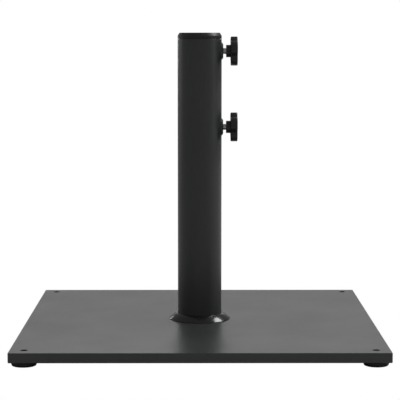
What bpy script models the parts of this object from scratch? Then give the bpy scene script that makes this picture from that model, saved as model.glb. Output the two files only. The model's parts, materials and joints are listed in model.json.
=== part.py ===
"""A parasol base: a square steel plate on four levelling feet, and a bolted tube that holds a pole.

Frame: metres, +Z up, origin on the floor under the middle of the plate. The front is -Y, and the two
hand screws stick out towards +X. A pole of up to 48 mm drops into the tube and the hand screws clamp it.
"""

import math

import bmesh
import bpy
from mathutils import Matrix

MM = 0.001
GAP = 0.3 * MM  # left between pieces that touch

# plate
PLATE_SIDE = 450 * MM
PLATE_THICK = 12 * MM
PLATE_CORNER = 2 * MM
PLATE_EDGE = 0.6 * MM

# feet
FOOT_HEIGHT = 6 * MM
FOOT_RADIUS = 15.25 * MM
FOOT_INSET = 17.5 * MM
FOOT_SHOULDER = ((0.88, 0.0), (0.93, 0.35 * MM), (0.97, 1.2 * MM), (1.0, 2.8 * MM))  # share of radius, z
FOOT_EDGE = 0.4 * MM
STUD_RADIUS = 4 * MM
STUD_FLANGE_RADIUS = 7 * MM
STUD_FLANGE_LOW = 1.9 * MM
STUD_FLANGE_THICK = 1.5 * MM
STUD_BELOW_PLATE_TOP = 1.2 * MM
STUD_SLOT_WIDTH = 1.2 * MM
STUD_SLOT_DEPTH = 1.5 * MM
STUD_END_CHAMFER = 0.7 * MM

# post
TUBE_RADIUS = 28.5 * MM
TUBE_WALL = 2 * MM
POST_TOP = 391 * MM
DISC_THICK = 8 * MM
POST_SCREW_CIRCLE = 15 * MM
POST_SCREW_RADIUS = 4 * MM
POST_SCREW_HEAD_RADIUS = 8 * MM
POST_SCREW_HEAD_SUNK = 0.4 * MM
POST_SCREW_HEAD_RIM = 0.3 * MM
POST_SCREW_END_SUNK = 0.8 * MM
POST_SCREW_END_CHAMFER = 0.6 * MM
SOCKET_ACROSS_FLATS = 5 * MM
SOCKET_DEPTH = 3 * MM

# collar at the mouth of the tube
COLLAR_BORE_RADIUS = 24.75 * MM
COLLAR_FLANGE_HEIGHT = 7.8 * MM
COLLAR_CHAMFER_WIDE = 2.2 * MM
COLLAR_CHAMFER_HIGH = 4 * MM
COLLAR_MOUTH_CHAMFER = 0.4 * MM
COLLAR_SLEEVE_LENGTH = 33 * MM

# trim ring at the foot of the tube
RING_RADIUS = 40 * MM
RING_HEIGHT = 8 * MM
RING_LIP = 1.2 * MM
RING_RIM_HIGH = 0.6 * MM
RING_WALL = 1.7 * MM
RING_FLARE = 1.1  # 1 is a straight cone, and more is hollower
RING_FLARE_STEPS = 6
RING_EDGE = 0.3 * MM
RING_FOOT_WIDE = 2 * MM
RING_COLLAR_HIGH = 2.6 * MM
RING_INSIDE_RISE = 1.3 * MM

# hand screws, each on an axis along X
UPPER_SCREW_Z = 367.5 * MM
LOWER_SCREW_Z = 269.5 * MM
BOSS_FACE_X = 30.4 * MM
BOSS_RADIUS = 10.2 * MM
BOSS_CHAMFER = 0.9 * MM
BOSS_NECK_RADIUS = 6 * MM
BOSS_NECK_END_X = 25.2 * MM
CUT_FROM_X = 20 * MM
CUT_TO_X = 35 * MM
BOLT_RADIUS = 4 * MM
BOLT_END_X = 25.9 * MM
BOLT_HEAD_X = 41.9 * MM
BOLT_HEAD_THICK = 5.3 * MM
BOLT_HEAD_FLATS = 13 * MM
BOLT_END_CHAMFER = 0.7 * MM
TIP_FACE_X = 24.4 * MM
TIP_THICK = 1.2 * MM
TIP_RADIUS = 3.4 * MM
TIP_PIN_RADIUS = 1.4 * MM
TIP_PIN_LENGTH = 3 * MM
TIP_EDGE = 0.3 * MM
HUB_FACE_X = 34.2 * MM
HUB_RADIUS = 8 * MM
HUB_EDGE = 0.5 * MM
HEAD_FACE_X = 40 * MM
HEAD_END_X = 49 * MM
HEAD_RADIUS = 18.8 * MM
HEAD_LOBES = 4
HEAD_NOTCH_DEPTH = 4.3 * MM
HEAD_NOTCH_SHARPNESS = 3  # more makes the notches between the lobes narrower
HEAD_TURN = math.radians(-19)  # of the topmost lobe, which leans back from straight up
HEAD_EDGE = 0.7 * MM
CAP_RADIUS = 9 * MM
CAP_THICK = 1.4 * MM
CAP_EDGE = 0.3 * MM

# facets round a full circle
FINE = 64
MEDIUM = 32
COARSE = 24
LOBED = 72

# colour, roughness, metallic
COATED_STEEL = ("coated_steel", (0.040, 0.045, 0.042), 0.45, 0.0)
ZINC_STEEL = ("zinc_steel", (0.62, 0.63, 0.64), 0.32, 1.0)
BLACKENED_STEEL = ("blackened_steel", (0.045, 0.045, 0.047), 0.40, 1.0)
BARE_STEEL = ("bare_steel", (0.30, 0.30, 0.31), 0.45, 1.0)
BLACK_PLASTIC = ("black_plastic", (0.016, 0.017, 0.017), 0.42, 0.0)
GLOSS_PLASTIC = ("gloss_plastic", (0.012, 0.012, 0.012), 0.15, 0.0)
FOOT_PLASTIC = ("foot_plastic", (0.012, 0.012, 0.012), 0.65, 0.0)
TIP_NYLON = ("tip_nylon", (0.70, 0.69, 0.65), 0.50, 0.0)

ALONG_X = Matrix.Rotation(math.radians(90), 4, "Y")
PLATE_TOP = FOOT_HEIGHT + PLATE_THICK
FULL_TURN = 2 * math.pi


def clear_scene():
    for old in list(bpy.data.objects):
        bpy.data.objects.remove(old, do_unlink=True)


def surface(name, colour, roughness, metallic):
    """The named material, made the first time that it is asked for."""
    found = bpy.data.materials.get(name)
    if found:
        return found
    made = bpy.data.materials.new(name)
    made.use_nodes = True
    shader = made.node_tree.nodes["Principled BSDF"]
    shader.inputs["Base Color"].default_value = (*colour, 1.0)
    shader.inputs["Roughness"].default_value = roughness
    shader.inputs["Metallic"].default_value = metallic
    return made


def place(name, bm, look, matrix=None):
    """Turns a bmesh into a node's object, smooth apart from its sharp edges."""
    bmesh.ops.recalc_face_normals(bm, faces=bm.faces)
    mesh = bpy.data.meshes.new(name)
    bm.to_mesh(mesh)
    bm.free()
    mesh.shade_smooth()
    mesh.set_sharp_from_angle(angle=math.radians(35))
    node = bpy.data.objects.new(name, mesh)
    if look:
        mesh.materials.append(surface(*look))
    if matrix:
        node.matrix_world = matrix
    bpy.context.scene.collection.objects.link(node)
    return node


def circle(radius):
    """An outline: the radius at each angle of a circle."""
    return lambda angle: radius


def hexagon(across_flats):
    """An outline: the radius at each angle of a hexagon with a corner at angle 0."""
    sector = math.radians(60)
    return lambda angle: across_flats / 2 / math.cos(angle % sector - sector / 2)


def lobes(inset):
    """An outline of the star head, pulled in all round by an inset: broad lobes with notches between them."""
    lobe_at = math.pi + HEAD_TURN

    def radius(angle):
        notch = (1 - math.cos(HEAD_LOBES * (angle - lobe_at))) / 2
        return HEAD_RADIUS - HEAD_NOTCH_DEPTH * notch**HEAD_NOTCH_SHARPNESS - inset

    return radius


def stack(rings, facets, hollow=False):
    """A bmesh skinned over rings of (height, outline) about local Z.

    A hollow body's last ring is joined to its first, as round a tube's wall. Any other is closed by its ends.
    """
    bm = bmesh.new()
    loops = []
    for height, outline in rings:
        loop = []
        for step in range(facets):
            angle = FULL_TURN * step / facets
            radius = outline(angle)
            loop.append(bm.verts.new((radius * math.cos(angle), radius * math.sin(angle), height)))
        loops.append(loop)
    following = loops[1:] + loops[:1] if hollow else loops[1:]
    for low, high in zip(loops, following):
        for step in range(facets):
            after = (step + 1) % facets
            bm.faces.new((low[step], low[after], high[after], high[step]))
    if not hollow:
        bm.faces.new(loops[0])
        bm.faces.new(loops[-1])
    return bm


def turned(profile, facets, hollow=False):
    """A bmesh turned about local Z from points of (radius, height)."""
    return stack([(height, circle(radius)) for radius, height in profile], facets, hollow)


def along_x(height):
    """Stands a body made about local Z on the line along +X at this height."""
    return Matrix.Translation((0, 0, height)) @ ALONG_X


def cutter(name, bm, matrix=None):
    """A hidden body that shapes a node and isn't one itself."""
    guide = place(name, bm, None, matrix)
    guide.hide_render = True
    guide.display_type = "WIRE"
    return guide


def shape_with(node, tool, operation="DIFFERENCE"):
    modifier = node.modifiers.new(tool.name, "BOOLEAN")
    modifier.operation = operation
    modifier.solver = "EXACT"
    modifier.object = tool


def merged(parts):
    """One bmesh that holds several separate bodies, for a cutter with many holes."""
    whole = bmesh.new()
    for part, matrix in parts:
        part.transform(matrix)
        loose = bpy.data.meshes.new("loose")
        part.to_mesh(loose)
        part.free()
        whole.from_mesh(loose)
        bpy.data.meshes.remove(loose)
    return whole


def foot_places():
    reach = PLATE_SIDE / 2 - FOOT_INSET
    return {
        "front_left": (-reach, -reach),
        "front_right": (reach, -reach),
        "back_left": (-reach, reach),
        "back_right": (reach, reach),
    }


def post_screw_places():
    """The four screws under the post, the first one towards +X and the rest a quarter turn apart."""
    for number in range(4):
        angle = FULL_TURN * number / 4
        yield number + 1, POST_SCREW_CIRCLE * math.cos(angle), POST_SCREW_CIRCLE * math.sin(angle)


def make_plate():
    bm = bmesh.new()
    size = Matrix.Diagonal((PLATE_SIDE, PLATE_SIDE, PLATE_THICK, 1))
    centre = Matrix.Translation((0, 0, FOOT_HEIGHT + PLATE_THICK / 2))
    bmesh.ops.create_cube(bm, size=1, matrix=centre @ size)
    upright = [e for e in bm.edges if abs(e.verts[0].co.z - e.verts[1].co.z) > PLATE_THICK / 2]
    bmesh.ops.bevel(bm, geom=upright, offset=PLATE_CORNER, segments=3, profile=0.5, affect="EDGES")
    rims = [e for e in bm.edges if abs(e.verts[0].co.z - e.verts[1].co.z) < PLATE_THICK / 2]
    bmesh.ops.bevel(bm, geom=rims, offset=PLATE_EDGE, segments=1, profile=0.5, affect="EDGES")
    plate = place("base_plate", bm, COATED_STEEL)

    past = MM
    stud_hole = [
        (STUD_RADIUS + GAP, FOOT_HEIGHT - past),
        (STUD_RADIUS + GAP, PLATE_TOP + past),
    ]
    slack = GAP * math.sqrt(2)
    head_low = FOOT_HEIGHT + POST_SCREW_HEAD_SUNK + POST_SCREW_HEAD_RIM
    cone = POST_SCREW_HEAD_RADIUS - POST_SCREW_RADIUS
    sunk_hole = [
        (POST_SCREW_HEAD_RADIUS + slack, FOOT_HEIGHT - past),
        (POST_SCREW_HEAD_RADIUS + slack, head_low),
        (POST_SCREW_RADIUS + slack, head_low + cone),
        (POST_SCREW_RADIUS + slack, PLATE_TOP + past),
    ]
    holes = []
    for x, y in foot_places().values():
        holes.append((turned(stud_hole, COARSE), Matrix.Translation((x, y, 0))))
    for _, x, y in post_screw_places():
        holes.append((turned(sunk_hole, COARSE), Matrix.Translation((x, y, 0))))
    shape_with(plate, cutter("plate_holes", merged(holes)))


def make_foot(corner, x, y):
    """A plastic pad, and the threaded stud whose flange is held in it."""
    top = FOOT_HEIGHT - GAP
    pocket_low = STUD_FLANGE_LOW - GAP
    pocket_high = STUD_FLANGE_LOW + STUD_FLANGE_THICK + GAP
    pad = [(share * FOOT_RADIUS, height) for share, height in FOOT_SHOULDER]
    pad += [(FOOT_RADIUS, top - FOOT_EDGE), (FOOT_RADIUS - FOOT_EDGE, top)]
    at_corner = Matrix.Translation((x, y, 0))
    foot = place("foot_pad_" + corner, turned(pad, MEDIUM), FOOT_PLASTIC, at_corner)
    pocket = [
        (STUD_FLANGE_RADIUS + GAP, pocket_low),
        (STUD_FLANGE_RADIUS + GAP, pocket_high),
        (STUD_RADIUS + GAP, pocket_high),
        (STUD_RADIUS + GAP, top + MM),
    ]
    shape_with(foot, cutter("pocket_" + corner, turned(pocket, COARSE), at_corner))

    stud_end = PLATE_TOP - STUD_BELOW_PLATE_TOP
    stud = [
        (STUD_FLANGE_RADIUS, STUD_FLANGE_LOW),
        (STUD_FLANGE_RADIUS, STUD_FLANGE_LOW + STUD_FLANGE_THICK),
        (STUD_RADIUS, STUD_FLANGE_LOW + STUD_FLANGE_THICK),
        (STUD_RADIUS, stud_end - STUD_END_CHAMFER),
        (STUD_RADIUS - STUD_END_CHAMFER, stud_end),
    ]
    node = place("foot_stud_" + corner, turned(stud, COARSE), BLACKENED_STEEL, at_corner)
    slot = bmesh.new()
    size = Matrix.Diagonal((3 * STUD_RADIUS, STUD_SLOT_WIDTH, 2 * STUD_SLOT_DEPTH, 1))
    bmesh.ops.create_cube(slot, size=1, matrix=Matrix.Translation((0, 0, stud_end)) @ size)
    shape_with(node, cutter("slot_" + corner, slot, at_corner))


def make_tube():
    low = PLATE_TOP + GAP
    high = POST_TOP - COLLAR_FLANGE_HEIGHT - GAP
    inner = TUBE_RADIUS - TUBE_WALL
    wall = [(TUBE_RADIUS, low), (TUBE_RADIUS, high), (inner, high), (inner, low)]
    tube = place("post_tube", turned(wall, FINE, hollow=True), COATED_STEEL)
    hole = [(BOSS_NECK_RADIUS + GAP, CUT_FROM_X), (BOSS_NECK_RADIUS + GAP, CUT_TO_X)]
    for level, height in (("upper", UPPER_SCREW_Z), ("lower", LOWER_SCREW_Z)):
        shape_with(tube, cutter("tube_hole_" + level, turned(hole, COARSE), along_x(height)))


def make_end_disc():
    """The thick disc welded into the foot of the tube, tapped for the four screws."""
    low = PLATE_TOP + GAP
    radius = TUBE_RADIUS - TUBE_WALL - GAP
    disc = place("post_end_disc", turned([(radius, low), (radius, low + DISC_THICK)], FINE), BARE_STEEL)
    hole = [(POST_SCREW_RADIUS + GAP, low - MM), (POST_SCREW_RADIUS + GAP, low + DISC_THICK + MM)]
    holes = [
        (turned(hole, COARSE), Matrix.Translation((x, y, 0))) for _, x, y in post_screw_places()
    ]
    shape_with(disc, cutter("disc_holes", merged(holes)))


def make_post_screws():
    """Countersunk screws with a hexagon socket, driven up through the plate into the end disc."""
    low = FOOT_HEIGHT + POST_SCREW_HEAD_SUNK
    shoulder = low + POST_SCREW_HEAD_RIM
    cone = POST_SCREW_HEAD_RADIUS - POST_SCREW_RADIUS
    end = PLATE_TOP + GAP + DISC_THICK - POST_SCREW_END_SUNK
    profile = [
        (POST_SCREW_HEAD_RADIUS, low),
        (POST_SCREW_HEAD_RADIUS, shoulder),
        (POST_SCREW_RADIUS, shoulder + cone),
        (POST_SCREW_RADIUS, end - POST_SCREW_END_CHAMFER),
        (POST_SCREW_RADIUS - POST_SCREW_END_CHAMFER, end),
    ]
    socket = [(low - MM, hexagon(SOCKET_ACROSS_FLATS)), (low + SOCKET_DEPTH, hexagon(SOCKET_ACROSS_FLATS))]
    for number, x, y in post_screw_places():
        at_hole = Matrix.Translation((x, y, 0))
        screw = place(f"post_screw_{number}", turned(profile, COARSE), ZINC_STEEL, at_hole)
        shape_with(screw, cutter(f"socket_{number}", stack(socket, 6), at_hole))


def make_trim_ring():
    """A thin flared skirt that covers the joint of tube and plate."""
    low = PLATE_TOP + GAP
    high = PLATE_TOP + RING_HEIGHT
    inner = TUBE_RADIUS + GAP
    foot = RING_RADIUS - RING_FOOT_WIDE
    ceiling = low + RING_HEIGHT - RING_COLLAR_HIGH
    skirt = [(inner, high), (inner + RING_LIP, high)]
    for step in range(1, RING_FLARE_STEPS + 1):
        share = step / RING_FLARE_STEPS
        radius = inner + RING_LIP + (RING_RADIUS - inner - RING_LIP) * share
        drop = (high - low - RING_RIM_HIGH) * (1 - (1 - share) ** RING_FLARE)
        skirt.append((radius, high - drop))
    skirt += [
        (RING_RADIUS, low + RING_EDGE),
        (RING_RADIUS - RING_EDGE, low),
        (foot, low),
        (foot - RING_WALL, low + RING_INSIDE_RISE),
        (inner + RING_WALL, ceiling),
        (inner, ceiling),
    ]
    place("trim_ring", turned(skirt, FINE, hollow=True), GLOSS_PLASTIC)


def make_collar():
    """The plastic mouth of the tube: a chamfered rim, and a sleeve that guides the pole."""
    underside = POST_TOP - COLLAR_FLANGE_HEIGHT
    sleeve = TUBE_RADIUS - TUBE_WALL - GAP
    foot = underside - COLLAR_SLEEVE_LENGTH
    profile = [
        (sleeve, foot),
        (sleeve, underside),
        (TUBE_RADIUS, underside),
        (TUBE_RADIUS, POST_TOP - COLLAR_CHAMFER_HIGH),
        (TUBE_RADIUS - COLLAR_CHAMFER_WIDE, POST_TOP),
        (COLLAR_BORE_RADIUS + COLLAR_MOUTH_CHAMFER, POST_TOP),
        (COLLAR_BORE_RADIUS, POST_TOP - COLLAR_MOUTH_CHAMFER),
        (COLLAR_BORE_RADIUS, foot),
    ]
    collar = place("top_collar", turned(profile, FINE, hollow=True), BLACK_PLASTIC)
    clearance = BOSS_NECK_RADIUS + GAP + 0.1 * MM
    hole = [(clearance, CUT_FROM_X), (clearance, CUT_TO_X)]
    shape_with(collar, cutter("collar_hole", turned(hole, COARSE), along_x(UPPER_SCREW_Z)))


def make_boss(level, height):
    """A round threaded boss welded to the tube: its saddle fits the tube, and its neck goes through."""
    axis = along_x(height)
    body = [
        (BOSS_RADIUS, CUT_FROM_X),
        (BOSS_RADIUS, BOSS_FACE_X - BOSS_CHAMFER),
        (BOSS_RADIUS - BOSS_CHAMFER, BOSS_FACE_X),
    ]
    boss = place(level + "_boss", turned(body, MEDIUM), COATED_STEEL, axis)
    tube = [
        (TUBE_RADIUS + GAP, height - 2 * BOSS_RADIUS),
        (TUBE_RADIUS + GAP, height + 2 * BOSS_RADIUS),
    ]
    shape_with(boss, cutter(level + "_saddle", turned(tube, FINE)))
    neck = [(BOSS_NECK_RADIUS, BOSS_NECK_END_X), (BOSS_NECK_RADIUS, BOSS_FACE_X - BOSS_CHAMFER)]
    shape_with(boss, cutter(level + "_neck", turned(neck, COARSE), axis), "UNION")
    bore = [(BOLT_RADIUS + GAP, CUT_FROM_X), (BOLT_RADIUS + GAP, CUT_TO_X)]
    shape_with(boss, cutter(level + "_thread", turned(bore, COARSE), axis))


def make_bolt(level, height):
    """The steel bolt that the knob turns: a hexagon head, and a recess for the tip's pin."""
    rings = [
        (BOLT_END_X, circle(BOLT_RADIUS - BOLT_END_CHAMFER)),
        (BOLT_END_X + BOLT_END_CHAMFER, circle(BOLT_RADIUS)),
        (BOLT_HEAD_X, circle(BOLT_RADIUS)),
        (BOLT_HEAD_X, hexagon(BOLT_HEAD_FLATS)),
        (BOLT_HEAD_X + BOLT_HEAD_THICK, hexagon(BOLT_HEAD_FLATS)),
    ]
    bolt = place(level + "_bolt", stack(rings, COARSE), ZINC_STEEL, along_x(height))
    recess = [
        (TIP_PIN_RADIUS + GAP, BOLT_END_X - MM),
        (TIP_PIN_RADIUS + GAP, TIP_FACE_X + TIP_THICK + TIP_PIN_LENGTH + GAP),
    ]
    shape_with(bolt, cutter(level + "_recess", turned(recess, COARSE), along_x(height)))


def make_tip(level, height):
    """The nylon button that bears on the pole. It slides with the bolt but doesn't turn."""
    seat = TIP_FACE_X + TIP_THICK
    profile = [
        (TIP_RADIUS - TIP_EDGE, TIP_FACE_X),
        (TIP_RADIUS, TIP_FACE_X + TIP_EDGE),
        (TIP_RADIUS, seat),
        (TIP_PIN_RADIUS, seat),
        (TIP_PIN_RADIUS, seat + TIP_PIN_LENGTH),
    ]
    place(level + "_tip", turned(profile, COARSE), TIP_NYLON, along_x(height))


def make_knob(level, height):
    """The star knob: a round hub, a lobed head, a hexagon pocket for the bolt and a seat for the cap."""
    pocket = BOLT_HEAD_X - GAP
    cap_seat = HEAD_END_X - CAP_THICK - GAP
    bore = circle(BOLT_RADIUS + GAP)
    pocket_flats = BOLT_HEAD_FLATS + 2 * GAP
    rings = [
        (HUB_FACE_X, bore),
        (HUB_FACE_X, circle(HUB_RADIUS - HUB_EDGE)),
        (HUB_FACE_X + HUB_EDGE, circle(HUB_RADIUS)),
        (HEAD_FACE_X, circle(HUB_RADIUS)),
        (HEAD_FACE_X, lobes(HEAD_EDGE)),
        (HEAD_FACE_X + HEAD_EDGE, lobes(0)),
        (HEAD_END_X - HEAD_EDGE, lobes(0)),
        (HEAD_END_X, lobes(HEAD_EDGE)),
        (HEAD_END_X, circle(CAP_RADIUS + GAP)),
        (cap_seat, circle(CAP_RADIUS + GAP)),
        (cap_seat, hexagon(pocket_flats)),
        (pocket, hexagon(pocket_flats)),
        (pocket, bore),
    ]
    place(level + "_knob", stack(rings, LOBED, hollow=True), BLACK_PLASTIC, along_x(height))
    cap = [
        (CAP_RADIUS, HEAD_END_X - CAP_THICK),
        (CAP_RADIUS, HEAD_END_X - CAP_EDGE),
        (CAP_RADIUS - CAP_EDGE, HEAD_END_X),
    ]
    place(level + "_knob_cap", turned(cap, MEDIUM), BLACK_PLASTIC, along_x(height))


def build():
    clear_scene()
    make_plate()
    for corner, (x, y) in foot_places().items():
        make_foot(corner, x, y)
    make_tube()
    make_end_disc()
    make_post_screws()
    make_trim_ring()
    make_collar()
    for level, height in (("upper", UPPER_SCREW_Z), ("lower", LOWER_SCREW_Z)):
        make_boss(level, height)
        make_bolt(level, height)
        make_tip(level, height)
        make_knob(level, height)


build()
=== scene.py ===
"""The looks of a parasol base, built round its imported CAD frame.

Metres, in the frame's axes: +Z up, the front is -Y, and the two hand screws stick out towards +X.
Every piece is built in place, so its object stays at the origin and its textures ride along with it.
"""

import json
import math

import bmesh
import bpy
from mathutils import Matrix, Vector

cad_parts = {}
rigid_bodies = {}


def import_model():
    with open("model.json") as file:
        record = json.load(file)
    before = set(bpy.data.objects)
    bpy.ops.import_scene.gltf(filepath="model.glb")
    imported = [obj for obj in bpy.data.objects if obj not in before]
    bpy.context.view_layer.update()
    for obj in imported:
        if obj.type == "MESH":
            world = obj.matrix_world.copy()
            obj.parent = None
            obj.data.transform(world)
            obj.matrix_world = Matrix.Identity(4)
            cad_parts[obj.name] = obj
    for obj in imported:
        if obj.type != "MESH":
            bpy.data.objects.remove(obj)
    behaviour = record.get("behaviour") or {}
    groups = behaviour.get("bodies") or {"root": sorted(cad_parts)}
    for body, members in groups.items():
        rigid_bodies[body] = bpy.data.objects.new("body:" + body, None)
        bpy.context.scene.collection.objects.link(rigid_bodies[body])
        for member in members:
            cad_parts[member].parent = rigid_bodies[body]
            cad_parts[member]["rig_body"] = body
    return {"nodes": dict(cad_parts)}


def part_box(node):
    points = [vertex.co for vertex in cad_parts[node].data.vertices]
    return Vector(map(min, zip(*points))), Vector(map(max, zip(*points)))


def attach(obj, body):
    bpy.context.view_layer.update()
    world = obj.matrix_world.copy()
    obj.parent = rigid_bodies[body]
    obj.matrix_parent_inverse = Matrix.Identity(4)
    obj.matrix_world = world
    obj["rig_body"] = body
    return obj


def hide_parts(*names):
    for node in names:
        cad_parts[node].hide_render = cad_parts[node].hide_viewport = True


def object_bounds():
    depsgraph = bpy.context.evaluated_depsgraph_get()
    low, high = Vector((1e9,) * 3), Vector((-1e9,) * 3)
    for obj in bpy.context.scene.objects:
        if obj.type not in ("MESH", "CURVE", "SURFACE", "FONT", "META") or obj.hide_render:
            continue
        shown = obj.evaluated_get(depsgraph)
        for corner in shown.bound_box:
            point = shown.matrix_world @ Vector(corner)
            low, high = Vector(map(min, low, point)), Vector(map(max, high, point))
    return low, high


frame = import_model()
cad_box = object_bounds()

MM = 0.001
FULL_TURN = 2 * math.pi
QUARTER_TURN = math.radians(90)
GAP = 0.3 * MM  # the room that the frame leaves between pieces that touch
SHARP_ANGLE = math.radians(32)  # edges that bend more than this are shaded sharp

# camera
CAMERA_PLACE = (-5.556 * MM, -1934.62 * MM, 377.52 * MM)
CAMERA_DOWN = 0.1048  # radians
CAMERA_RIGHT = 0.0031
CAMERA_LENS = 134.13  # millimetres
CAMERA_SENSOR = 36  # millimetres
CAMERA_CLIP = (0.05, 50)  # metres, near and far

# facets round a full circle
FINE = 160
MEDIUM = 96
COARSE = 48

# steps along a rounded edge
FILLET_STEPS = 6
ROLL_STEPS = 5  # where a hole rolls over

# cutting tools
TOOL_PAST = 1 * MM  # how far a tool for a hole runs past both faces
TOOL_REACH = 5 * MM  # how far past a boss's inner end its rough body and its hole start

# plate
PLATE_CORNER = 2 * MM
PLATE_CORNER_SEGMENTS = 8
PLATE_EDGE = 0.8 * MM
PLATE_EDGE_SEGMENTS = 6
PLATE_FLAT = GAP / 100  # a point nearer to a face than this is on it
HOLE_EDGE = 0.5 * MM

# screw threads: M8, 1.25 mm a turn
PITCH = 1.25 * MM
THREAD_DEPTH = 0.5 * MM
THREAD_FLANK = 0.34  # half the groove's width, as a share of the pitch
THREAD_STEPS = 10  # rings for each turn of a thread
THREAD_RUN_OUT = 1.2 * MM
THREAD_CHAMFER = 0.7 * MM
THREAD_WEAR = 0.35

# feet
CONTACT_RADII = (10.6 * MM, 13.4 * MM)
SOLE_RECESS = 0.6 * MM
SOLE_GROOVE = 0.35 * MM
SOLE_EDGE = 0.15 * MM
PAD_SHOULDER = ((0.93, 0.35 * MM), (0.97, 1.2 * MM), (1.0, 2.8 * MM))  # share of radius, height
PAD_EDGE = 0.5 * MM
PAD_BORE_EDGE = 0.2 * MM
STUD_RADIUS = 4 * MM
FLANGE_THICK = 1.5 * MM
FLANGE_EDGE = 0.3 * MM
SLOT_WIDTH = 1.2 * MM
SLOT_DEPTH = 1.5 * MM

# post
TUBE_WALL = 2 * MM
TUBE_EDGE = 0.3 * MM
DISC_EDGE = 0.6 * MM
DISC_EDGE_STEPS = 3
POST_SCREW_RADIUS = 4 * MM
POST_SCREW_RIM = 0.3 * MM
SOCKET_FLATS = 5 * MM
SOCKET_DEPTH = 3 * MM
SOCKET_TIP = 0.7 * MM
SOCKET_MOUTH = 0.3 * MM

# collar
COLLAR_FLANGE = 7.8 * MM
COLLAR_BORE = 24.75 * MM
COLLAR_CHAMFER = (2.2 * MM, 4 * MM)
COLLAR_EDGE = 0.35 * MM
COLLAR_FOOT = 0.9 * MM
SLEEVE_EDGE = 0.2 * MM
COLLAR_HOLE_SLACK = 1.4 * GAP  # round the upper boss's neck

# trim ring
RING_LIP = 1.2 * MM
RING_MOUTH_EDGE = 0.25 * MM
RING_LIP_EDGE = 0.3 * MM
RING_RIM_EDGE = 0.15 * MM
RING_RIM = 0.1 * MM
RING_BEAD = 0.5 * MM  # the radius that rounds the skirt's outer edge
RING_STEEPEST = math.radians(45)  # where the skirt meets that round
RING_BULGE = 0.28  # more lifts the middle of the skirt further above a straight slope
RING_WALL = 1.7 * MM
RING_FOOT_DROP = 0.4 * MM  # how much lower than a full wall's thickness the inside starts
RING_FOOT = 2 * MM
RING_STEPS = 16
RING_COLLAR = 2.6 * MM

# bosses and bolts
NECK_RADIUS = 6 * MM
BOSS_CHAMFER = 0.9 * MM
BOSS_EDGE = 0.25 * MM
WELD_RADIUS = 0.9 * MM
WELD_RIPPLES = 58
WELD_RIPPLE = 0.07
WELD_SPOKES = 14
WELD_WEAR = 0.3
BOLT_RADIUS = 4 * MM
BOLT_FLATS = 13 * MM
BOLT_HEAD = 5.3 * MM
BOLT_HEAD_CHAMFER = 0.6 * MM
PIN_RADIUS = 1.4 * MM
PIN_EDGE = 0.3 * MM
TIP_NOSE_EDGE = 0.45 * MM
TIP_BACK_EDGE = 0.15 * MM
TIP_PLAY = GAP / 3  # between a tip's back and its bolt

# knobs
HUB_RADIUS = 8 * MM
HUB_EDGE = 0.6 * MM
HUB_ROOT = 0.9 * MM
HEAD_THICK = 9 * MM
HEAD_RADIUS = 18.8 * MM
HEAD_LOBES = 4
HEAD_NOTCH_DEPTH = 4.3 * MM
HEAD_NOTCH_SHARPNESS = 3  # more makes the notches between the lobes narrower
HEAD_TURN = math.radians(-19)  # of the topmost lobe, which leans back from straight up
HEAD_EDGE = 1.2 * MM
HEAD_DISH = 0.35 * MM
HEAD_DISH_RINGS = ((3.2 * MM, 0.8, 0.3), (5.6 * MM, 0.3, 0.8))  # inset, share of notches, share of dish
SEAT_LAND = 1.2 * MM
SEAT_EDGE = 0.3 * MM
HEAD_EDGE_STEPS = 7
LOBE_FACETS = 48
CAP_DOME = 0.25 * MM
CAP_EDGE = 0.35 * MM
CAP_FOOT_EDGE = 0.2 * MM
CAP_STEPS = 6

# materials
COAT = (0.047, 0.052, 0.049)
COAT_DARK = (0.043, 0.048, 0.045)
COAT_SPECK = (0.070, 0.075, 0.072)
COAT_WORN = (0.085, 0.090, 0.087)
PLASTIC = (0.018, 0.018, 0.018)
PLASTIC_DARK = (0.014, 0.014, 0.014)
PLASTIC_RUBBED = (0.040, 0.040, 0.040)
GLOSS = (0.010, 0.010, 0.010)
GLOSS_DUSTY = (0.014, 0.014, 0.014)
FOOT = (0.012, 0.012, 0.012)
FOOT_DUSTY = (0.035, 0.034, 0.032)
ZINC = (0.76, 0.77, 0.78)
ZINC_STAIN = (0.60, 0.60, 0.59)
BLACK_OXIDE = (0.045, 0.045, 0.047)
BLACK_OXIDE_STAIN = (0.030, 0.028, 0.026)
STEEL = (0.30, 0.30, 0.31)
STEEL_BRIGHT = (0.40, 0.40, 0.41)
STEEL_STAIN = (0.16, 0.12, 0.09)
NYLON = (0.70, 0.69, 0.65)
NYLON_SCUFFED = (0.50, 0.49, 0.46)

# stage
FLOOR_REACH = 12  # metres each way
FLOOR_PALE = (0.66, 0.66, 0.66)
WORLD_STRENGTH = 0.23
LIGHT_DISTANCE = 3.0
# azimuth from the back towards the right, elevation, width, height, radiance
LIGHTS = {
    "back_low": (1, 8, 1.9, 0.6, 0.13),
    "back_middle": (1, 16, 1.9, 0.5, 0.95),
    "back_high": (2, 28, 2.0, 0.9, 0.45),
    "left_back": (-26, 8, 0.35, 0.7, 2.4),
    "left": (-60, 14, 1.0, 1.5, 0.7),
    "right": (100, 14, 1.0, 1.5, 0.5),
    "key": (68, 48, 1.6, 1.0, 10.5),
    "front_fill": (180, 35, 4.0, 2.0, 0.06),
}
ROUND_LIGHT = "key"  # an ellipse, where the others are rectangles

CORNERS = ("front_left", "front_right", "back_left", "back_right")
POST_SCREWS = [f"post_screw_{number}" for number in range(1, 5)]
LEVELS = ("upper", "lower")
RIGHT = Matrix.Rotation(QUARTER_TURN, 4, "Y")  # stands local Z along +X


# ---------------------------------------------------------------- camera


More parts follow.
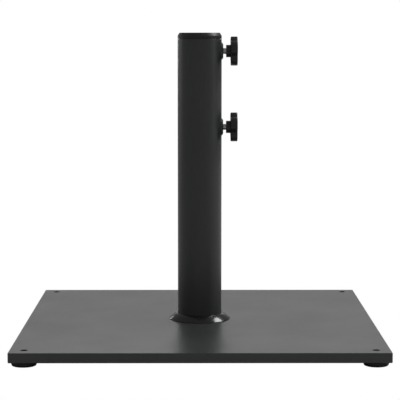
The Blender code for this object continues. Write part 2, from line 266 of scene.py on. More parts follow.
def make_camera():
    camera = bpy.data.objects.new("camera", bpy.data.cameras.new("camera"))
    camera.location = CAMERA_PLACE
    camera.rotation_euler = (QUARTER_TURN - CAMERA_DOWN, 0, -CAMERA_RIGHT)
    camera.data.sensor_width = CAMERA_SENSOR
    camera.data.lens = CAMERA_LENS
    camera.data.clip_start, camera.data.clip_end = CAMERA_CLIP
    bpy.context.scene.collection.objects.link(camera)
    bpy.context.scene.camera = camera


# ---------------------------------------------------------------- meshes


def circle(radius):
    """An outline: the radius at each angle of a circle."""
    return lambda angle: radius


def hexagon(across_flats, rounding=0.0):
    """An outline: a hexagon with a corner at angle 0, its corners cut by a circle that much inside them."""
    sector = math.radians(60)
    corner = across_flats / 2 / math.cos(sector / 2) - rounding
    return lambda angle: min(corner, across_flats / 2 / math.cos(angle % sector - sector / 2))


def star(inset, share=1.0):
    """An outline of the star head, pulled in by an inset, with a share of its notches' depth."""
    lobe_at = math.pi + HEAD_TURN

    def radius(angle):
        notch = (1 - math.cos(HEAD_LOBES * (angle - lobe_at))) / 2
        return HEAD_RADIUS - share * HEAD_NOTCH_DEPTH * notch**HEAD_NOTCH_SHARPNESS - inset

    return radius


def thread(height, radius, from_tip, from_root):
    """An outline across a right-handed thread, with its tip chamfered and its root running out."""
    depth = THREAD_DEPTH * min(1.0, from_root / THREAD_RUN_OUT)
    crest = radius - max(0.0, THREAD_CHAMFER - from_tip)

    def at(angle):
        phase = (height / PITCH - angle / FULL_TURN) % 1
        groove = 1 - min(1, abs(phase - 0.5) / THREAD_FLANK)
        return min(crest, radius - depth * groove)

    return at


def filleted(corners, steps=FILLET_STEPS):
    """Points (a, b, wear) of an outline whose (a, b, fillet) corners are rounded. Wear is 1 on a fillet."""
    points = []
    for number, (a, b, fillet) in enumerate(corners):
        if not fillet:
            points.append((a, b, 0.0))
            continue
        here = Vector((a, b))
        before = (Vector(corners[number - 1][:2]) - here).normalized()
        after = (Vector(corners[(number + 1) % len(corners)][:2]) - here).normalized()
        half = before.angle(after) / 2
        centre = here + (before + after).normalized() * fillet / math.sin(half)
        spoke = here + before * fillet / math.tan(half) - centre
        sweep = math.pi - 2 * half
        if spoke.x * (here - centre).y - spoke.y * (here - centre).x < 0:
            sweep = -sweep
        for step in range(steps + 1):
            turn = Matrix.Rotation(sweep * step / steps, 2)
            point = centre + turn @ spoke
            points.append((point.x, point.y, math.sin(math.pi * step / steps)))
    return points


def skinned(rings, facets, hollow=False):
    """A bmesh skinned over rings of (height, outline, wear) about local Z.

    An outline of None is a point on the axis. A hollow body's last ring is joined to its first.
    """
    bm = bmesh.new()
    wear_layer = bm.verts.layers.float.new("wear")
    loops = []
    for height, outline, wear in rings:
        loop = []
        for step in range(facets if outline else 1):
            angle = FULL_TURN * step / facets
            radius = outline(angle) if outline else 0
            vert = bm.verts.new((radius * math.cos(angle), radius * math.sin(angle), height))
            vert[wear_layer] = wear
            loop.append(vert)
        loops.append(loop)
    following = loops[1:] + loops[:1] if hollow else loops[1:]
    for low, high in zip(loops, following):
        for step in range(facets):
            after = (step + 1) % facets
            corners = [low[step % len(low)], low[after % len(low)]]
            corners += [high[after % len(high)], high[step % len(high)]]
            bm.faces.new(dict.fromkeys(corners))
    if not hollow:
        for loop in (loops[0], loops[-1]):
            if len(loop) > 1:
                bm.faces.new(loop)
    return bm


def turned(outline, facets, hollow=False):
    """A bmesh turned about local Z from points (radius, height, wear)."""
    return skinned(ringed(outline), facets, hollow)


def thread_rings(low, high, radius, tip_low=False):
    """Rings up a thread. Its tip is at the top unless tip_low says otherwise."""
    count = math.ceil((high - low) / PITCH * THREAD_STEPS)
    for step in range(count + 1):
        height = low + (high - low) * step / count
        ends = (height - low, high - height) if tip_low else (high - height, height - low)
        yield height, thread(height, radius, *ends), THREAD_WEAR


def ringed(outline):
    """The rings of a turned outline of points (radius, height, wear)."""
    return [(height, circle(radius) if radius else None, wear) for radius, height, wear in outline]


def carve(piece, *tools):
    """Shapes a piece for good with tools of (operation, bmesh, matrix)."""
    guides = []
    for number, (operation, bm, matrix) in enumerate(tools):
        guide = as_object(f"{piece.name}_tool_{number}", bm, None, matrix)
        modifier = piece.modifiers.new(guide.name, "BOOLEAN")
        modifier.operation = operation
        modifier.solver = "EXACT"
        modifier.object = guide
        guides.append(guide)
    graph = bpy.context.evaluated_depsgraph_get()
    solid = bpy.data.meshes.new_from_object(piece.evaluated_get(graph))
    piece.modifiers.clear()
    plain, piece.data = piece.data, solid
    bpy.data.meshes.remove(plain)
    piece.data.name = piece.name
    for guide in guides:
        bpy.data.objects.remove(guide, do_unlink=True)
    finish_shading(piece)


def finish_shading(piece):
    piece.data.shade_smooth()
    piece.data.set_sharp_from_angle(angle=SHARP_ANGLE)


def as_object(name, bm, look, matrix=None):
    """A linked object from a bmesh, which is moved by the matrix first."""
    if matrix:
        bm.transform(matrix)
    bmesh.ops.recalc_face_normals(bm, faces=bm.faces)
    mesh = bpy.data.meshes.new(name)
    bm.to_mesh(mesh)
    bm.free()
    made = bpy.data.objects.new(name, mesh)
    if look:
        mesh.materials.append(look)
    bpy.context.scene.collection.objects.link(made)
    finish_shading(made)
    return made


def piece_for(node, bm, look, matrix=None):
    """A piece that stands for one CAD node, on that node's body and with its material slot."""
    made = as_object("look_" + node, bm, LOOKS[look], matrix)
    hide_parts(node)
    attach(made, frame["nodes"][node]["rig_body"])
    return made


def place_of(node):
    """The matrix that moves to the middle of a node, at height 0."""
    low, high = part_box(node)
    middle = (low + high) / 2
    return Matrix.Translation((middle.x, middle.y, 0))


def axis_of(node):
    """The matrix that stands local Z on a node's own line along +X."""
    return Matrix.Translation((0, 0, height_of_axis(node))) @ RIGHT


def radius_of(node):
    """Half of a node's width across the front."""
    low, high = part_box(node)
    return (high.y - low.y) / 2


def height_of_axis(node):
    low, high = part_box(node)
    return (low.z + high.z) / 2


# ---------------------------------------------------------------- materials


class Look:
    """One Principled material. Its methods add nodes, and give back their outputs."""

    def __init__(self, name, colour, roughness, **constants):
        self.material = bpy.data.materials.new(name)
        self.material.use_nodes = True
        self.tree = self.material.node_tree
        self.shader = self.tree.nodes["Principled BSDF"]
        self.place = self.node("ShaderNodeTexCoord").outputs["Object"]
        self.shader.inputs["Base Color"].default_value = (*colour, 1)
        self.shader.inputs["Roughness"].default_value = roughness
        for socket, value in constants.items():
            self.shader.inputs[socket].default_value = value

    def node(self, kind, links=None, **settings):
        made = self.tree.nodes.new(kind)
        for name, value in settings.items():
            setattr(made, name, value)
        for socket, value in (links or {}).items():
            if isinstance(value, bpy.types.NodeSocket):
                self.tree.links.new(value, made.inputs[socket])
            else:
                made.inputs[socket].default_value = value
        return made

    def stretched(self, x, y, z):
        """Object coordinates scaled along each axis."""
        scaled = self.node("ShaderNodeMapping", {"Vector": self.place, "Scale": (x, y, z)})
        return scaled.outputs["Vector"]

    def noise(self, size, detail=2.0, place=None, distortion=0.0):
        """Noise from 0 to 1 whose features are about this many metres wide."""
        links = {"Vector": place or self.place, "Scale": 1 / size, "Detail": detail}
        links["Distortion"] = distortion
        return self.node("ShaderNodeTexNoise", links).outputs["Fac"]

    def ranged(self, value, low, high, to_low=0.0, to_high=1.0):
        links = {"Value": value, "From Min": low, "From Max": high, "To Min": to_low, "To Max": to_high}
        return self.node("ShaderNodeMapRange", links, clamp=True).outputs["Result"]

    def maths(self, operation, one, other=0.0):
        return self.node("ShaderNodeMath", {0: one, 1: other}, operation=operation).outputs[0]

    def mixed(self, share, one, other):
        """A colour between two, each a colour or an output."""
        mix = self.node("ShaderNodeMix", {"Factor": share}, data_type="RGBA")
        for socket, value in ((mix.inputs[6], one), (mix.inputs[7], other)):
            if isinstance(value, bpy.types.NodeSocket):
                self.tree.links.new(value, socket)
            else:
                socket.default_value = (*value, 1)
        return mix.outputs[2]

    def worn(self, size, low=0.35, high=0.75):
        """From 0 to 1, how far wear on the edges shows, broken up by noise."""
        mark = self.node("ShaderNodeAttribute", attribute_name="wear").outputs["Fac"]
        return self.ranged(self.maths("MULTIPLY", mark, self.noise(size, 3)), low, high)

    def colour(self, output):
        self.tree.links.new(output, self.shader.inputs["Base Color"])

    def roughness(self, output):
        self.tree.links.new(output, self.shader.inputs["Roughness"])

    def relief(self, *layers):
        """Bumps the surface by layers of (height from 0 to 1, depth in metres)."""
        normal = None
        for height, depth in layers:
            links = {"Height": height, "Distance": depth, "Strength": 1.0}
            if normal:
                links["Normal"] = normal
            normal = self.node("ShaderNodeBump", links).outputs["Normal"]
        self.tree.links.new(normal, self.shader.inputs["Normal"])


def coated_steel():
    """Satin anthracite powder coat: a fine grain on a slight orange peel, thinner and paler on edges."""
    look = Look("coated_steel", COAT, 0.34)
    soft = look.noise(90 * MM)
    grain = look.noise(0.35 * MM, 1)
    peel = look.noise(2.4 * MM, 1)
    shade = look.mixed(look.ranged(soft, 0.3, 0.7), COAT_DARK, COAT)
    speckled = look.mixed(look.ranged(grain, 0.62, 0.8, 0, 0.35), shade, COAT_SPECK)
    look.colour(look.mixed(look.worn(3 * MM), speckled, COAT_WORN))
    look.roughness(look.ranged(look.maths("ADD", soft, grain), 0.7, 1.3, 0.30, 0.38))
    look.relief((peel, 0.012 * MM), (grain, 0.006 * MM))
    return look.material


def black_plastic():
    """Moulded black plastic: a spark-eroded grain, and rubbed edges that shine."""
    look = Look("black_plastic", PLASTIC, 0.42)
    grain = look.noise(0.4 * MM, 2)
    cloud = look.noise(14 * MM)
    rubbed = look.worn(2.5 * MM)
    shade = look.mixed(look.ranged(cloud, 0.3, 0.7), PLASTIC_DARK, PLASTIC)
    look.colour(look.mixed(rubbed, shade, PLASTIC_RUBBED))
    dull = look.ranged(look.maths("ADD", grain, cloud), 0.7, 1.3, 0.36, 0.46)
    look.roughness(look.maths("SUBTRACT", dull, look.maths("MULTIPLY", rubbed, 0.12)))
    look.relief((cloud, 0.02 * MM), (grain, 0.016 * MM))
    return look.material


def gloss_plastic():
    """Polished black plastic with faint swirls, dust in its hollows and a slight sink."""
    look = Look("gloss_plastic", GLOSS, 0.13)
    cloud = look.noise(18 * MM)
    swirl = look.noise(0.5 * MM, 2, look.stretched(1, 1, 6))
    look.colour(look.mixed(look.worn(2 * MM), look.mixed(cloud, GLOSS, GLOSS_DUSTY), PLASTIC_RUBBED))
    look.roughness(look.ranged(look.maths("ADD", swirl, cloud), 0.7, 1.4, 0.14, 0.22))
    look.relief((cloud, 0.03 * MM), (swirl, 0.0015 * MM))
    return look.material


def foot_plastic():
    """Matt black foot plastic, greyed with dust where it meets the floor."""
    look = Look("foot_plastic", FOOT, 0.62)
    grain = look.noise(0.5 * MM, 2)
    cloud = look.noise(9 * MM, 3)
    dust = look.ranged(cloud, 0.45, 0.75, 0, 0.6)
    look.colour(look.mixed(look.maths("MAXIMUM", dust, look.worn(2 * MM)), FOOT, FOOT_DUSTY))
    look.roughness(look.ranged(look.maths("ADD", grain, cloud), 0.7, 1.3, 0.55, 0.72))
    look.relief((cloud, 0.03 * MM), (grain, 0.03 * MM))
    return look.material


def metal(name, colour, stain, roughness, grain_size, brushed, depth):
    """Metal with grain drawn out along an axis by brushed, a factor for each axis, and cloudy stains."""
    look = Look(name, colour, roughness, Metallic=1.0)
    cloud = look.noise(4 * MM, 4)
    grain = look.noise(grain_size, 2, look.stretched(*brushed))
    marks = look.ranged(cloud, 0.42, 0.72)
    bright = [min(1.0, channel * 1.15) for channel in colour]
    look.colour(look.mixed(look.worn(1.5 * MM), look.mixed(marks, colour, stain), bright))
    wide = look.maths("ADD", look.maths("MULTIPLY", marks, 0.5), grain)
    look.roughness(look.ranged(wide, 0.3, 1.2, roughness - 0.07, roughness + 0.12))
    look.relief((cloud, 0.01 * MM), (grain, depth))
    return look.material


def zinc_steel():
    return metal("zinc_steel", ZINC, ZINC_STAIN, 0.26, 0.3 * MM, (1, 1, 1), 0.004 * MM)


def blackened_steel():
    return metal("blackened_steel", BLACK_OXIDE, BLACK_OXIDE_STAIN, 0.40, 0.3 * MM, (1, 1, 1), 0.006 * MM)


def bare_steel():
    """Faced steel: the tool's rings show round the post's axis, under a little rust and oil."""
    look = Look("bare_steel", STEEL, 0.42, Metallic=1.0)
    rings = look.node(
        "ShaderNodeTexWave",
        {"Vector": look.place, "Scale": 0.16 / MM, "Distortion": 0.6, "Detail": 2.0, "Detail Scale": 3.0},
        wave_type="RINGS",
        rings_direction="Z",
    ).outputs["Fac"]
    cloud = look.noise(9 * MM, 5)
    stained = look.ranged(cloud, 0.48, 0.7)
    look.colour(look.mixed(stained, look.mixed(rings, STEEL, STEEL_BRIGHT), STEEL_STAIN))
    look.roughness(look.ranged(look.maths("ADD", rings, stained), 0, 1.6, 0.34, 0.6))
    look.relief((rings, 0.02 * MM), (look.noise(0.4 * MM, 3), 0.01 * MM))
    return look.material


def tip_nylon():
    """Natural nylon, a little yellowed, scuffed where it bears on the pole."""
    look = Look("tip_nylon", NYLON, 0.48)
    cloud = look.noise(3 * MM, 3)
    scuff = look.noise(0.25 * MM, 2)
    scuffed = look.maths("MAXIMUM", look.worn(1 * MM), look.ranged(cloud, 0.5, 0.8))
    look.colour(look.mixed(scuffed, NYLON, NYLON_SCUFFED))
    look.roughness(look.ranged(look.maths("ADD", cloud, scuff), 0.7, 1.3, 0.40, 0.58))
    look.relief((cloud, 0.02 * MM), (scuff, 0.02 * MM))
    return look.material


# ---------------------------------------------------------------- pieces


def hole_cutter(radius, low, high, roll):
    """A body that bores a hole from below low to above high, and rolls over the hole's upper edge."""
    outline = [(0, low - TOOL_PAST, 0), (radius, low - TOOL_PAST, 0)]
    for step in range(ROLL_STEPS + 1):
        angle = QUARTER_TURN * step / ROLL_STEPS
        across = radius + roll * (1 - math.cos(angle))
        outline.append((across, high - roll * (1 - math.sin(angle)), math.sin(2 * angle)))
    outline += [(radius + roll, high + TOOL_PAST, 0), (0, high + TOOL_PAST, 0)]
    return turned(outline, COARSE)


def round_off(bm, edges, radius, segments):
    """Bevels edges to a round of that radius."""
    bmesh.ops.bevel(bm, geom=edges, offset=radius, segments=segments, profile=0.5, affect="EDGES")


def make_plate():
    """The steel plate, with rolled edges, through holes for the studs and countersinks from below."""
    low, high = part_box("base_plate")
    thick = high.z - low.z
    bm = bmesh.new()
    wear_layer = bm.verts.layers.float.new("wear")
    whole = Matrix.Translation((low + high) / 2) @ Matrix.Diagonal((*(high - low), 1))
    bmesh.ops.create_cube(bm, size=1, matrix=whole)
    upright = [e for e in bm.edges if abs(e.verts[0].co.z - e.verts[1].co.z) > thick / 2]
    round_off(bm, upright, PLATE_CORNER, PLATE_CORNER_SEGMENTS)
    rims = [e for e in bm.edges if abs(e.verts[0].co.z - e.verts[1].co.z) < thick / 2]
    round_off(bm, rims, PLATE_EDGE, PLATE_EDGE_SEGMENTS)
    for vert in bm.verts:
        depth = min(vert.co.z - low.z, high.z - vert.co.z)
        vert[wear_layer] = math.sin(math.pi * min(1.0, depth / PLATE_EDGE))
    plate = piece_for("base_plate", bm, "coated_steel")

    tools = []
    for corner in CORNERS:
        stud_hole = hole_cutter(STUD_RADIUS + GAP, low.z, high.z, HOLE_EDGE)
        tools.append(("DIFFERENCE", stud_hole, place_of("foot_stud_" + corner)))
    slack = GAP * math.sqrt(2)
    for screw in POST_SCREWS:
        head_low, head_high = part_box(screw)
        head = radius_of(screw) + slack
        shank = POST_SCREW_RADIUS + slack
        shoulder = head_low.z + POST_SCREW_RIM
        sink = [(0, low.z - TOOL_PAST), (head, low.z - TOOL_PAST)]
        sink += [(head, shoulder), (shank, shoulder + head - shank)]
        sink += [(shank, high.z + TOOL_PAST), (0, high.z + TOOL_PAST)]
        sunk_hole = turned([(radius, height, 0) for radius, height in sink], MEDIUM)
        tools.append(("DIFFERENCE", sunk_hole, place_of(screw)))
    carve(plate, *tools)
    marks = plate.data.attributes["wear"].data
    for vert in plate.data.vertices:
        if min(vert.co.z - low.z, high.z - vert.co.z) < PLATE_FLAT:
            marks[vert.index].value = 0  # the flat faces don't wear, whatever the tools left there
    plate.modifiers.new("flat_faces", "WEIGHTED_NORMAL").keep_sharp = True


def make_foot(corner):
    """A moulded pad with a recessed, grooved sole and a pocket for the stud's flange, and its stud."""
    node = "foot_pad_" + corner
    low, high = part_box(node)
    stud_low, stud_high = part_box("foot_stud_" + corner)
    flange = radius_of("foot_stud_" + corner)
    rim = radius_of(node)
    inner, outer = CONTACT_RADII
    middle = (inner + outer) / 2
    outline = filleted(
        [
            (0, low.z + SOLE_RECESS, 0),
            (inner - SOLE_RECESS, low.z + SOLE_RECESS, 0),
            (inner, low.z, SOLE_EDGE),
            (middle - SOLE_GROOVE, low.z, 0),
            (middle, low.z + SOLE_GROOVE, 0),
            (middle + SOLE_GROOVE, low.z, 0),
            (outer, low.z, 0),
            *[(share * rim, low.z + height, 0) for share, height in PAD_SHOULDER],
            (rim, high.z, PAD_EDGE),
            (STUD_RADIUS + GAP, high.z, PAD_BORE_EDGE),
            (STUD_RADIUS + GAP, stud_low.z + FLANGE_THICK + GAP, 0),
            (flange + GAP, stud_low.z + FLANGE_THICK + GAP, 0),
            (flange + GAP, stud_low.z - GAP, 0),
            (0, stud_low.z - GAP, 0),
        ]
    )
    piece_for(node, turned(outline, MEDIUM), "foot_plastic", place_of(node))

    shoulder = stud_low.z + FLANGE_THICK
    head = [
        (0, stud_low.z, 0),
        (flange, stud_low.z, FLANGE_EDGE),
        (flange, shoulder, FLANGE_EDGE),
        (STUD_RADIUS, shoulder, 0),
    ]
    rings = ringed(filleted(head)) + list(thread_rings(shoulder, stud_high.z, STUD_RADIUS))[1:]
    at_stud = place_of("foot_stud_" + corner)
    stud = piece_for("foot_stud_" + corner, skinned(rings, COARSE), "blackened_steel", at_stud)
    slot = bmesh.new()
    size = Matrix.Diagonal((4 * STUD_RADIUS, SLOT_WIDTH, 2 * SLOT_DEPTH, 1))
    bmesh.ops.create_cube(slot, size=1, matrix=Matrix.Translation((0, 0, stud_high.z)) @ size)
    carve(stud, ("DIFFERENCE", slot, at_stud))


def make_tube():
    """The tube's wall, with rings of its own near the two holes so that they don't spoil its shading."""
    low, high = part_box("post_tube")
    outer = high.y
    inner = outer - TUBE_WALL
    levels = []
    for level in LEVELS:
        axis_height = height_of_axis(level + "_boss")
        levels += [axis_height - 2 * NECK_RADIUS, axis_height + 2 * NECK_RADIUS]
    levels = [level for level in sorted(levels) if level < high.z]
    wall = [(inner, low.z, TUBE_EDGE), (outer, low.z, TUBE_EDGE)]
    wall += [(outer, level, 0) for level in levels]
    wall += [(outer, high.z, TUBE_EDGE), (inner, high.z, TUBE_EDGE)]
    wall += [(inner, level, 0) for level in reversed(levels)]
    tube = piece_for("post_tube", turned(filleted(wall), FINE, hollow=True), "coated_steel")
    carve(tube, *[neck_hole(level, NECK_RADIUS + GAP) for level in LEVELS])


def neck_hole(level, radius):
    """The tool that makes room for a boss's neck."""
    low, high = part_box(level + "_boss")
    inside = low.x - TOOL_REACH
    rod = [(0, inside, 0), (radius, inside, 0), (radius, high.x, 0), (0, high.x, 0)]
    return "DIFFERENCE", turned(rod, MEDIUM), axis_of(level + "_boss")


def make_end_disc():
    """The faced disc in the foot of the tube, with the tapped holes of the four screws."""
    low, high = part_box("post_end_disc")
    radius = radius_of("post_end_disc")
    edge = [(0, low.z, 0), (radius, low.z, DISC_EDGE), (radius, high.z, DISC_EDGE), (0, high.z, 0)]
    body = turned(filleted(edge, DISC_EDGE_STEPS), MEDIUM)
    disc = piece_for("post_end_disc", body, "bare_steel")
    tools = []
    for screw in POST_SCREWS:
        hole = hole_cutter(POST_SCREW_RADIUS + GAP, low.z, high.z, HOLE_EDGE)
        tools.append(("DIFFERENCE", hole, place_of(screw)))
    carve(disc, *tools)


def make_post_screws():
    """Countersunk screws: a hexagon socket with a drill point, a conical head and a thread."""
    for screw in POST_SCREWS:
        low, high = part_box(screw)
        head = radius_of(screw)
        shoulder = low.z + POST_SCREW_RIM
        root = shoulder + head - POST_SCREW_RADIUS
        mouth = hexagon(SOCKET_FLATS + 2 * SOCKET_MOUTH)
        rings = [
            (low.z + SOCKET_DEPTH + SOCKET_TIP, None, 0),
            (low.z + SOCKET_DEPTH, hexagon(SOCKET_FLATS), 0),
            (low.z + SOCKET_MOUTH, hexagon(SOCKET_FLATS), 0),
            (low.z, mouth, 0.7),
            (low.z, circle(head - POST_SCREW_RIM), 0.3),
            (low.z + POST_SCREW_RIM / 2, circle(head), 1.0),
            (shoulder, circle(head), 0.5),
            (root, circle(POST_SCREW_RADIUS), 0),
        ]
        rings += list(thread_rings(root, high.z, POST_SCREW_RADIUS))[1:]
        piece_for(screw, skinned(rings, COARSE), "zinc_steel", place_of(screw))


def make_trim_ring():
    """The thin flared skirt round the foot of the tube."""
    low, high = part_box("trim_ring")
    rim = high.y
    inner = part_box("post_tube")[1].y + GAP
    lip = inner + RING_LIP
    foot = rim - RING_FOOT
    ceiling = high.z - RING_COLLAR + GAP
    bead = RING_BEAD * (1 - math.cos(RING_STEEPEST))
    bead_high = low.z + RING_RIM + RING_BEAD * math.sin(RING_STEEPEST)
    slope = []
    for step in range(1, RING_STEPS):
        share = step / RING_STEPS
        drop = (high.z - bead_high) * (share - RING_BULGE * share * (1 - share))
        slope.append((lip + (rim - bead - lip) * share, high.z - drop, 0))
    for step in range(RING_STEPS):
        turn = RING_STEEPEST * (1 - step / RING_STEPS)
        across = rim - RING_BEAD * (1 - math.cos(turn))
        slope.append((across, low.z + RING_RIM + RING_BEAD * math.sin(turn), 0))
    skirt = [
        (inner, high.z, RING_MOUTH_EDGE),
        (lip, high.z, RING_LIP_EDGE),
        *slope,
        (rim, low.z + RING_RIM, 0),
        (rim, low.z, RING_RIM_EDGE),
        (foot, low.z, 0),
        (foot - RING_WALL, low.z + RING_WALL - RING_FOOT_DROP, 0),
        (inner + RING_WALL, ceiling, 0),
        (inner, ceiling, 0),
    ]
    piece_for("trim_ring", turned(filleted(skirt), FINE, hollow=True), "gloss_plastic")


def make_collar():
    """The plastic mouth of the tube: a chamfered flange, and a sleeve with a lead-in at its foot."""
    low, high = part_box("top_collar")
    outer = high.y
    underside = high.z - COLLAR_FLANGE
    sleeve = outer - TUBE_WALL - GAP
    chamfer_wide, chamfer_high = COLLAR_CHAMFER
    wall = [
        (sleeve - COLLAR_FOOT, low.z, SLEEVE_EDGE),
        (sleeve, low.z + COLLAR_FOOT, SLEEVE_EDGE),
        (sleeve, underside, 0),
        (outer, underside, COLLAR_EDGE),
        (outer, high.z - chamfer_high, COLLAR_EDGE),
        (outer - chamfer_wide, high.z, COLLAR_EDGE),
        (COLLAR_BORE, high.z, COLLAR_EDGE),
        (COLLAR_BORE, low.z, SLEEVE_EDGE),
    ]
    collar = piece_for("top_collar", turned(filleted(wall), FINE, hollow=True), "black_plastic")
    carve(collar, neck_hole("upper", NECK_RADIUS + COLLAR_HOLE_SLACK))


def make_boss(level):
    """A round boss on the tube: a saddle, a neck through the wall, a bore, and the weld round its foot."""
    node = level + "_boss"
    low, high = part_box(node)
    radius = radius_of(node)
    axis = axis_of(node)
    height = height_of_axis(node)
    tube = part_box("post_tube")[1].y
    inside = low.x - TOOL_REACH
    body = filleted(
        [
            (0, inside, 0),
            (radius, inside, 0),
            (radius, high.x - BOSS_CHAMFER, BOSS_EDGE),
            (radius - BOSS_CHAMFER, high.x, BOSS_EDGE),
            (0, high.x, 0),
        ]
    )
    boss = piece_for(node, turned(body, MEDIUM), "coated_steel", axis)
    saddle = [(0, height - 2 * radius, 0), (tube + GAP, height - 2 * radius, 0)]
    saddle += [(tube + GAP, height + 2 * radius, 0), (0, height + 2 * radius, 0)]
    behind = high.x - BOSS_CHAMFER
    neck = [(0, low.x, 0), (NECK_RADIUS, low.x, 0), (NECK_RADIUS, behind, 0), (0, behind, 0)]
    carve(
        boss,
        ("DIFFERENCE", turned(saddle, FINE), None),
        ("UNION", turned(neck, MEDIUM), axis),
        ("DIFFERENCE", hole_cutter(BOLT_RADIUS + GAP, inside, high.x, HOLE_EDGE), axis),
    )
    make_weld(level, radius, tube, height)


def make_weld(level, radius, tube, height):
    """The bead that joins a boss to the tube, along the line where the two meet."""
    bm = bmesh.new()
    wear_layer = bm.verts.layers.float.new("wear")
    rings = []
    for step in range(2 * MEDIUM):
        angle = FULL_TURN * step / (2 * MEDIUM)
        outward = Vector((0, math.cos(angle), math.sin(angle)))
        point = radius * outward
        point.x = math.sqrt(tube**2 - point.y**2)
        from_tube = Vector((point.x, point.y, 0)).normalized()
        point.z += height
        width = WELD_RADIUS * (1 + WELD_RIPPLE * math.sin(WELD_RIPPLES * angle))
        ring = []
        for spoke in range(WELD_SPOKES):
            turn = FULL_TURN * spoke / WELD_SPOKES
            reach = math.cos(turn) * outward + math.sin(turn) * from_tube
            vert = bm.verts.new(point + width * reach)
            vert[wear_layer] = WELD_WEAR
            ring.append(vert)
        rings.append(ring)
    for ring, following in zip(rings, rings[1:] + rings[:1]):
        for spoke in range(WELD_SPOKES):
            after = (spoke + 1) % WELD_SPOKES
            bm.faces.new((ring[spoke], ring[after], following[after], following[spoke]))
    weld = as_object(f"look_{level}_weld", bm, LOOKS["coated_steel"])
    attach(weld, frame["nodes"][level + "_boss"]["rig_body"])


def make_bolt(level):
    """The zinc-plated bolt: a recess for the tip's pin, a thread and a hexagon head."""
    node = level + "_bolt"
    low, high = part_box(node)
    tip_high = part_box(level + "_tip")[1]
    recess = tip_high.x + GAP
    head = high.x - BOLT_HEAD
    corner = hexagon(BOLT_FLATS)
    rings = [
        (recess, None, 0),
        (recess, circle(PIN_RADIUS + GAP), 0),
        (low.x, circle(PIN_RADIUS + GAP), 0.3),
        *thread_rings(low.x, head, BOLT_RADIUS, tip_low=True),
        (head, corner, 0.3),
        (high.x - BOLT_HEAD_CHAMFER, corner, 0.3),
        (high.x, hexagon(BOLT_FLATS, BOLT_HEAD_CHAMFER), 0.8),
        (high.x, None, 0),
    ]
    piece_for(node, skinned(rings, MEDIUM), "zinc_steel", axis_of(node))


def make_tip(level):
    """The nylon button on the end of a bolt, and the pin that holds it there."""
    node = level + "_tip"
    low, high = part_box(node)
    radius = radius_of(node)
    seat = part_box(level + "_bolt")[0].x - TIP_PLAY
    outline = filleted(
        [
            (0, low.x, 0),
            (radius, low.x, TIP_NOSE_EDGE),
            (radius, seat, TIP_BACK_EDGE),
            (PIN_RADIUS, seat, 0),
            (PIN_RADIUS, high.x, PIN_EDGE),
            (0, high.x, 0),
        ]
    )
    piece_for(node, turned(outline, COARSE), "tip_nylon", axis_of(node))


def make_knob(level):
    """A star knob: a hub that swells into the head, rounded lobes, a dished face and a capped pocket."""
    node = level + "_knob"
    low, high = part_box(node)
    cap_low, cap_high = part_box(level + "_knob_cap")
    head = high.x - HEAD_THICK
    bolt_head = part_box(level + "_bolt")[1].x - BOLT_HEAD
    seat = radius_of(level + "_knob_cap") + GAP
    bore = circle(BOLT_RADIUS + GAP)
    pocket = hexagon(BOLT_FLATS + 2 * GAP)
    rings = [(low.x, bore, 0), (low.x, circle(HUB_RADIUS - HUB_EDGE), 0.3)]
    for step in range(1, HEAD_EDGE_STEPS):
        turn = QUARTER_TURN * step / HEAD_EDGE_STEPS
        radius = HUB_RADIUS - HUB_EDGE * (1 - math.sin(turn))
        rings.append((low.x + HUB_EDGE * (1 - math.cos(turn)), circle(radius), 1))
    for step in range(HEAD_EDGE_STEPS + 1):
        turn = QUARTER_TURN * step / HEAD_EDGE_STEPS
        radius = HUB_RADIUS + HUB_ROOT * (1 - math.cos(turn))
        rings.append((head - HUB_ROOT * (1 - math.sin(turn)), circle(radius), 0))
    for near, face in ((1, head), (-1, high.x)):
        steps = range(HEAD_EDGE_STEPS + 1) if near > 0 else range(HEAD_EDGE_STEPS, -1, -1)
        for step in steps:
            turn = QUARTER_TURN * step / HEAD_EDGE_STEPS
            inset = HEAD_EDGE * (1 - math.sin(turn))
            depth = HEAD_EDGE * (1 - math.cos(turn))
            rings.append((face + near * depth, star(inset), math.sin(2 * turn)))
    dish = high.x - HEAD_DISH
    for inset, notches, depth in HEAD_DISH_RINGS:
        rings.append((high.x - depth * HEAD_DISH, star(inset, notches), 0))
    rings += [
        (dish, circle(seat + SEAT_LAND), 0),
        (dish, circle(seat + SEAT_EDGE), 0),
        (dish - SEAT_EDGE, circle(seat), 0.6),
        (cap_low.x - GAP, circle(seat), 0),
        (cap_low.x - GAP, pocket, 0),
        (bolt_head - GAP, pocket, 0),
        (bolt_head - GAP, bore, 0),
    ]
    knob = skinned(rings, HEAD_LOBES * LOBE_FACETS, hollow=True)
    piece_for(node, knob, "black_plastic", axis_of(level + "_bolt"))
    make_cap(level, cap_low, cap_high)


def make_cap(level, low, high):
    """The slightly domed disc that closes a knob's pocket."""
    node = level + "_knob_cap"
    radius = radius_of(node)
    rim = high.x - CAP_DOME
    disc = [(0, low.x, 0), (radius, low.x, CAP_FOOT_EDGE), (radius, rim, CAP_EDGE), (0, rim, 0)]
    outline = filleted(disc)[:-1]
    for step in range(CAP_STEPS - 1, -1, -1):
        share = step / CAP_STEPS
        outline.append((share * (radius - CAP_EDGE), rim + CAP_DOME * (1 - share**2), 0))
    piece_for(node, turned(outline, MEDIUM), "black_plastic", axis_of(node))


# ---------------------------------------------------------------- stage


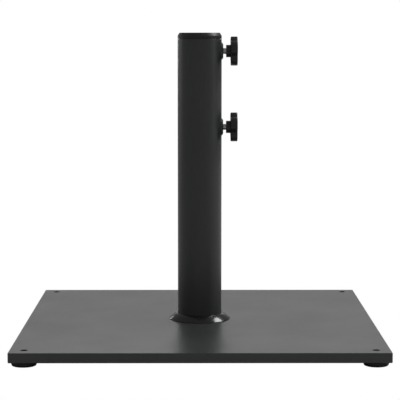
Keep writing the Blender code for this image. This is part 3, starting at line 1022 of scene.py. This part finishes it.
def make_floor():
    """A pale floor that the camera sees as pure white."""
    mesh = bpy.data.meshes.new("floor")
    reach = FLOOR_REACH
    corners = [(-reach, -reach, 0), (reach, -reach, 0), (reach, reach, 0), (-reach, reach, 0)]
    mesh.from_pydata(corners, [], [(0, 1, 2, 3)])
    floor = bpy.data.objects.new("floor", mesh)
    bpy.context.scene.collection.objects.link(floor)
    material = bpy.data.materials.new("floor")
    material.use_nodes = True
    tree = material.node_tree
    tree.nodes.clear()
    output = tree.nodes.new("ShaderNodeOutputMaterial")
    path = tree.nodes.new("ShaderNodeLightPath")
    mix = tree.nodes.new("ShaderNodeMixShader")
    pale = tree.nodes.new("ShaderNodeBsdfDiffuse")
    pale.inputs["Color"].default_value = (*FLOOR_PALE, 1)
    white = tree.nodes.new("ShaderNodeEmission")
    tree.links.new(path.outputs["Is Camera Ray"], mix.inputs[0])
    tree.links.new(pale.outputs[0], mix.inputs[1])
    tree.links.new(white.outputs[0], mix.inputs[2])
    tree.links.new(mix.outputs[0], output.inputs["Surface"])
    mesh.materials.append(material)


def make_world():
    """White to the camera, and a soft grey to everything else."""
    world = bpy.data.worlds.new("studio")
    world.use_nodes = True
    tree = world.node_tree
    tree.nodes.clear()
    output = tree.nodes.new("ShaderNodeOutputWorld")
    path = tree.nodes.new("ShaderNodeLightPath")
    mix = tree.nodes.new("ShaderNodeMixShader")
    dim = tree.nodes.new("ShaderNodeBackground")
    dim.inputs["Strength"].default_value = WORLD_STRENGTH
    white = tree.nodes.new("ShaderNodeBackground")
    tree.links.new(path.outputs["Is Camera Ray"], mix.inputs[0])
    tree.links.new(dim.outputs[0], mix.inputs[1])
    tree.links.new(white.outputs[0], mix.inputs[2])
    tree.links.new(mix.outputs[0], output.inputs["Surface"])
    for background in (dim, white):
        background.inputs["Color"].default_value = (1, 1, 1, 1)
    bpy.context.scene.world = world


def make_lights():
    """Soft boxes that face the object's middle, each with the power that gives its radiance."""
    middle = Vector((0, 0, (cad_box[0].z + cad_box[1].z) / 2))
    for name, (azimuth, elevation, width, height, radiance) in LIGHTS.items():
        turn = math.radians(azimuth)
        rise = math.radians(elevation)
        aim = Vector((math.sin(turn) * math.cos(rise), math.cos(turn) * math.cos(rise), math.sin(rise)))
        light = bpy.data.lights.new(name, "AREA")
        light.shape = "ELLIPSE" if name == ROUND_LIGHT else "RECTANGLE"
        light.size = width
        light.size_y = height
        area = width * height * (math.pi / 4 if name == ROUND_LIGHT else 1)
        light.energy = radiance * math.pi * area
        soft_box = bpy.data.objects.new(name, light)
        facing = aim.to_track_quat("Z", "Y").to_matrix().to_4x4()
        soft_box.matrix_world = Matrix.Translation(middle + LIGHT_DISTANCE * aim) @ facing
        soft_box.visible_camera = False
        bpy.context.scene.collection.objects.link(soft_box)


# ---------------------------------------------------------------- making

make_camera()
bpy.context.scene.view_settings.view_transform = "Standard"
LOOKS = {
    "coated_steel": coated_steel(),
    "bare_steel": bare_steel(),
    "zinc_steel": zinc_steel(),
    "blackened_steel": blackened_steel(),
    "gloss_plastic": gloss_plastic(),
    "black_plastic": black_plastic(),
    "foot_plastic": foot_plastic(),
    "tip_nylon": tip_nylon(),
}
make_plate()
for corner in CORNERS:
    make_foot(corner)
make_tube()
make_end_disc()
make_post_screws()
make_trim_ring()
make_collar()
for level in LEVELS:
    make_boss(level)
    make_bolt(level)
    make_tip(level)
    make_knob(level)
make_floor()
make_world()
make_lights()
